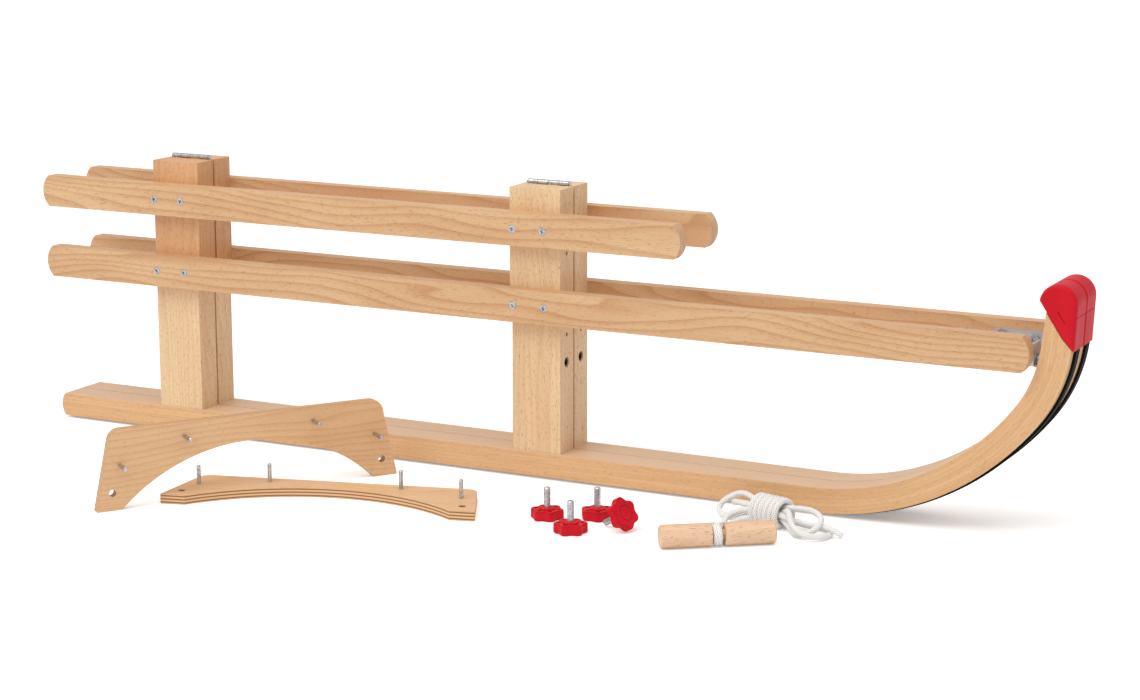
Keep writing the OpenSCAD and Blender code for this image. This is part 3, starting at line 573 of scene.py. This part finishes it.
def plywood(name, origin, degrees_z, upright):
    """Birch plywood: a beech-like face, and light and dark layers on every edge."""
    mat, tree, shader = new_material(name)
    net = Net(tree)
    local = turned(net, net.position(), origin, degrees_z, 90 if upright else None)
    lx, ly, lz = net.split(local)
    shift = 2.3 if upright else 5.1
    wood = net.use(
        beech_group, Grain=net.join(lx, ly, lz), Shift=shift, Bands=0.9, Flecks=0.3, Pinkness=0.1
    )
    wood.inputs["Light"].default_value = colour(230, 188, 142)
    wood.inputs["Dark"].default_value = colour(206, 156, 108)
    layer = net.math("FRACT", net.math("DIVIDE", lz, PLY))
    dark_layer = net.ramp(net.math("ABSOLUTE", net.math("SUBTRACT", layer, 0.5)), 0.18, 0.26, 1.0, 0.0)
    above = net.math("GREATER_THAN", lz, FACE_PLY)
    inner = net.math("MULTIPLY", above, net.math("LESS_THAN", lz, BRACE_T - FACE_PLY))
    edge_colour = net.mix(dark_layer, colour(226, 184, 134), colour(150, 98, 58))
    toned = net.mix(inner, wood.outputs["Color"], edge_colour)
    tree.links.new(toned, shader.inputs["Base Color"])
    tree.links.new(wood.outputs["Roughness"], shader.inputs["Roughness"])
    tree.links.new(net.bump(wood.outputs["Height"], 0.2, 0.0002), shader.inputs["Normal"])
    shader.inputs["Coat Weight"].default_value = 0.1
    return mat


# moulded plastic: a faint grain that blurs the highlight
plastic_group, gin, gout = group(
    "Moulded plastic",
    [("Position", "NodeSocketVector", None), ("Grain size", "NodeSocketFloat", 2600.0)],
    [("Roughness", "NodeSocketFloat"), ("Height", "NodeSocketFloat"), ("Mottle", "NodeSocketFloat")],
)
net = Net(plastic_group)
fine = net.noise(gin.outputs["Position"], gin.outputs["Grain size"], 2.0)
broad = net.noise(gin.outputs["Position"], 60.0, 2.0)
plastic_group.links.new(net.math("ADD", 0.26, net.math("MULTIPLY", broad, 0.14)), gout.inputs["Roughness"])
plastic_group.links.new(fine, gout.inputs["Height"])
plastic_group.links.new(broad, gout.inputs["Mottle"])


def plastic(name, base, deep, strength=0.12, size=2600.0, shine=0.5, dull=0.0):
    mat, tree, shader = new_material(name)
    net = Net(tree)
    grain = net.use(plastic_group, Position=net.position(), Grain_size=size)
    mottled = net.mix(net.ramp(grain.outputs["Mottle"], 0.3, 0.7), base, deep)
    tree.links.new(mottled, shader.inputs["Base Color"])
    rough = net.math("ADD", grain.outputs["Roughness"], dull)
    tree.links.new(rough, shader.inputs["Roughness"])
    tree.links.new(net.bump(grain.outputs["Height"], strength, 0.0002), shader.inputs["Normal"])
    shader.inputs["Specular IOR Level"].default_value = shine
    return mat


def metal(name, base, dull, low=0.24, high=0.42, size=420.0):
    """Zinc plate: cloudy, a little scratched."""
    mat, tree, shader = new_material(name)
    net = Net(tree)
    cloud = net.noise(net.position(), size, 3.0)
    fine = net.noise(net.position(), 3000.0, 2.0)
    tree.links.new(net.mix(net.ramp(cloud, 0.35, 0.65), base, dull), shader.inputs["Base Color"])
    tree.links.new(net.ramp(cloud, 0.2, 0.8, low, high), shader.inputs["Roughness"])
    tree.links.new(net.bump(fine, 0.08, 0.0001), shader.inputs["Normal"])
    shader.inputs["Metallic"].default_value = 1.0
    return mat


def braid(name):
    """Braided rope: two sets of slanting yarns with fine fibres, from the lay map."""
    mat, tree, shader = new_material(name)
    net = Net(tree)
    uvm = tree.nodes.new("ShaderNodeUVMap")
    uvm.uv_map = "lay"
    u, v, _ = net.split(uvm.outputs[0])
    twist = net.math("MULTIPLY", v, 300.0)
    around = net.math("MULTIPLY", u, 8.0)
    left = net.math("SINE", net.math("MULTIPLY", net.math("ADD", around, twist), 2 * math.pi))
    right = net.math("SINE", net.math("MULTIPLY", net.math("SUBTRACT", around, twist), 2 * math.pi))
    yarn = net.math("MAXIMUM", left, right)
    # painted shade: the colour is darker in the grooves between the yarns, where shade falls, and white on
    # the yarn crests
    gap = net.ramp(yarn, -0.4, 0.5)
    fuzz = net.noise(net.position(), 2400.0, 3.0)
    tone = net.mix(gap, colour(206, 203, 198), colour(255, 254, 251))
    fuzzy = net.mix(net.math("MULTIPLY", fuzz, 0.08), tone, colour(222, 219, 214))
    tree.links.new(fuzzy, shader.inputs["Base Color"])
    height = net.math("ADD", net.math("MULTIPLY", yarn, 0.6), net.math("MULTIPLY", fuzz, 0.3))
    tree.links.new(net.bump(height, 0.7, 0.0006), shader.inputs["Normal"])
    tree.links.new(net.ramp(fuzz, 0.0, 1.0, 0.75, 0.95), shader.inputs["Roughness"])
    shader.inputs["Sheen Weight"].default_value = 0.3
    return mat


def dress(obj, mat):
    obj.data.materials.clear()
    obj.data.materials.append(mat)


def soften(node, width, segments=3, angle=32):
    """Rounds the sharp edges of a CAD piece a little, as sanding does."""
    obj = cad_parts[node]
    flat = obj.modifiers.new("flats", "DECIMATE")
    flat.decimate_type = "DISSOLVE"
    flat.angle_limit = math.radians(0.6)
    bevel = obj.modifiers.new("edges", "BEVEL")
    bevel.width = width * MM
    bevel.segments = segments
    bevel.limit_method = "ANGLE"
    bevel.angle_limit = math.radians(angle)
    bevel.harden_normals = True
    bevel.use_clamp_overlap = True


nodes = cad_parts
SIDES = ("right", "left")
for i, side in enumerate(SIDES):
    dress(nodes[f"{side}_runner"], runner_wood(f"runner_beech_{side}", 1.7 + 3 * i))
    for j, name in enumerate(("front_leg", "rear_leg", "front_beam", "rear_beam")):
        warm = name == "rear_beam"
        pale = colour(224, 176, 126) if warm else colour(236, 206, 164)
        brown = colour(194, 138, 90) if warm else colour(208, 160, 112)
        wood = beech(
            f"{name}_beech_{side}", "z", 0.6 + 1.3 * j + 5 * i,
            bands=0.5, flecks=0.6, pink=0.45 if warm else 0.12, light=pale, dark=brown,
        )
        dress(nodes[f"{side}_{name}"], wood)
        soften(f"{side}_{name}", 2.0)
    for name, pink, shift in (("upper_slat", 0.9, 2.4), ("lower_slat", 0.3, 4.9)):
        wood = beech(
            f"{name}_beech_{side}", "x", shift + i, bands=1.1, flecks=0.45, pink=pink,
            light=colour(220, 182, 138), dark=colour(192, 138, 92),
        )
        dress(nodes[f"{side}_{name}"], wood)
    soften(f"{side}_upper_slat", 2.0)
    soften(f"{side}_lower_slat", 2.0)
    soften(f"{side}_runner", 1.2)

zinc = metal("zinc_plate", colour(206, 208, 210), colour(172, 174, 178))
satin_zinc = metal("bracket_zinc", colour(222, 223, 226), colour(206, 208, 212), 0.34, 0.46, 70.0)
dark_steel = metal("dark_steel", colour(120, 120, 124), colour(92, 92, 98), 0.3, 0.5)
red = plastic("red_plastic", colour(208, 26, 42), colour(198, 22, 36), shine=0.1, dull=0.08)
strip = plastic("black_strip", colour(9, 9, 10), colour(15, 15, 16), 0.2, 1400.0, 0.15, 0.4)
rope_cloth = braid("white_braid")

for name, obj in nodes.items():
    if name.endswith("tip_cap"):
        dress(obj, red)
    elif name.endswith("sole"):
        dress(obj, strip)
    elif name.startswith("star_knob"):
        dress(obj, red)
        soften(name, 0.7, 2)
    elif name.endswith("nose_bracket"):
        dress(obj, satin_zinc)
        soften(name, 0.4, 2)
    elif name.endswith("insert_nuts"):
        dress(obj, dark_steel)
    elif any(word in name for word in ("screws", "bolt", "pin", "hinge", "stud", "pegs")):
        dress(obj, zinc)

FRONT_TURN, REAR_TURN = 55, 15  # degrees of the braces about Z
back = Vector((-math.sin(math.radians(FRONT_TURN)), math.cos(math.radians(FRONT_TURN)), 0))
upright = plywood("front_brace_ply", row(351, -198, 0) + back * BRACE_T, FRONT_TURN, True)
dress(nodes["front_brace"], upright)
dress(nodes["rear_brace"], plywood("rear_brace_ply", row(442, -229, 0), REAR_TURN, False))
soften("front_brace", 0.7, 2)
soften("rear_brace", 0.7, 2)

grip_mat, tree, shader = new_material("grip_beech")
net = Net(tree)
local = turned(net, net.position(), GRIP, GRIP_DEGREES)
wood = net.use(beech_group, Grain=local, Shift=7.7, Bands=0.5, Flecks=0.6, Pinkness=0.3)
wood.inputs["Light"].default_value = colour(238, 206, 172)
wood.inputs["Dark"].default_value = colour(214, 166, 122)
finish_wood(tree, net, shader, wood)
dress(nodes["rope_handle"], grip_mat)
soften("rope_handle", 0.8, 2)
for piece in (long_rope, short_rope, winding):
    dress(piece, rope_cloth)

# ---- floor and light ----

bpy.ops.mesh.primitive_plane_add(size=30, location=(0, 0, -0.0002))
floor = bpy.context.object
floor.name = "floor"
floor_mat, tree, shader = new_material("floor")
net = Net(tree)
speck = net.noise(net.position(), 40.0, 2.0)
tree.links.new(net.mix(speck, (0.93, 0.93, 0.93, 1), (0.96, 0.96, 0.96, 1)), shader.inputs["Base Color"])
shader.inputs["Roughness"].default_value = 0.9
shader.inputs["Specular IOR Level"].default_value = 0.0
# the floor fades into the white backdrop; its glow is seen but lights nothing
far_off = net.split(net.position())[1]
seen = tree.nodes.new("ShaderNodeLightPath").outputs["Is Camera Ray"]
glow = net.math("MULTIPLY", net.ramp(far_off, 0.5, 3.2, 0.28, 0.5), seen)
shader.inputs["Emission Color"].default_value = (1.0, 1.0, 1.0, 1)
tree.links.new(glow, shader.inputs["Emission Strength"])
dress(floor, floor_mat)

world = bpy.data.worlds.new("studio")
world.use_nodes = True
world.node_tree.nodes["Background"].inputs[0].default_value = (1.0, 1.0, 1.0, 1)
world.node_tree.nodes["Background"].inputs[1].default_value = 0.66
bpy.context.scene.world = world


def soft_light(name, at, aim, size, power):
    data = bpy.data.lights.new(name, "AREA")
    data.size = size
    data.energy = power
    obj = bpy.data.objects.new(name, data)
    bpy.context.collection.objects.link(obj)
    obj.location = at
    obj.rotation_euler = (Vector(aim) - Vector(at)).to_track_quat("-Z", "Y").to_euler()


soft_light("key", (-0.9, -2.4, 3.0), (0.1, 0, 0.1), 2.2, 56)
soft_light("top", (0.6, -0.5, 3.0), (0.1, 0, 0.1), 2.4, 26)

scene = bpy.context.scene
scene.view_settings.view_transform = "Standard"
